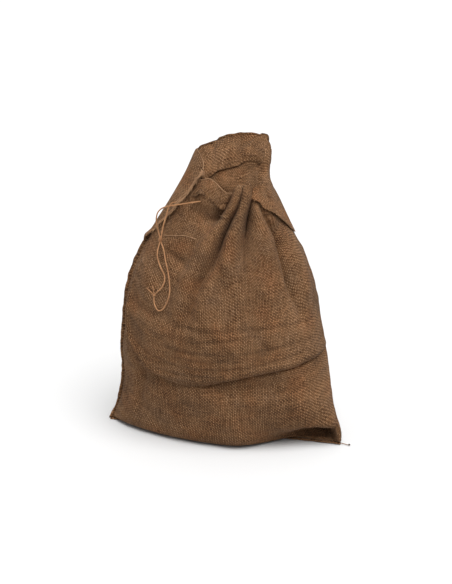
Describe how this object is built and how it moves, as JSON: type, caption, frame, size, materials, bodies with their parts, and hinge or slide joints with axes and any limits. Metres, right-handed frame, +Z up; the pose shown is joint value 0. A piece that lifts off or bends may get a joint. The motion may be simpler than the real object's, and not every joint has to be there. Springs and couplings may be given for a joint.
{
  "type": "sack race bag",
  "caption": "Open-mouthed jute hessian sack with a gathered drawstring neck, filled out and standing on its base.",
  "frame": {"origin": "middle of the base's bounding box, on the ground", "axes": "+Z up; -Y is the front, where the mouth is pleated and the drawstring hangs; +X is the side of the flat bottom corner"},
  "size_m": [0.5975, 0.2922, 0.7382],
  "materials": {
    "hessian": "open plain weave, matt",
    "hem": "open plain weave, matt",
    "thread": "matt spun thread",
    "twine": "matt twisted jute twine"
  },
  "bodies": {
    "sack": {"front_panel": "hessian", "back_panel": "hessian", "front_casing_hem": "hem", "back_casing_hem": "hem", "left_casing_wing": "hem", "right_casing_wing": "hem", "left_side_seam": "thread", "bottom_seam": "thread", "bottom_seam_thread_tail": "thread", "back_hem_stitching": "thread", "front_hem_stitching": "thread", "left_wing_stitching": "thread", "right_wing_stitching": "thread", "drawstring_in_casing": "twine"},
    "drawstring": {"drawstring_strand_a": "twine", "drawstring_strand_b": "twine", "drawstring_slip_knot": "twine", "drawstring_end_knot": "twine", "drawstring_cut_end_a": "twine", "drawstring_cut_end_b": "twine"}
  },
  "joints": [
    {"name": "drawstring_pull", "type": "slide", "parent": "sack", "child": "drawstring", "axis": [-0.9871, -0.1002, -0.1253], "range_m": [0, 0.06]}
  ]
}
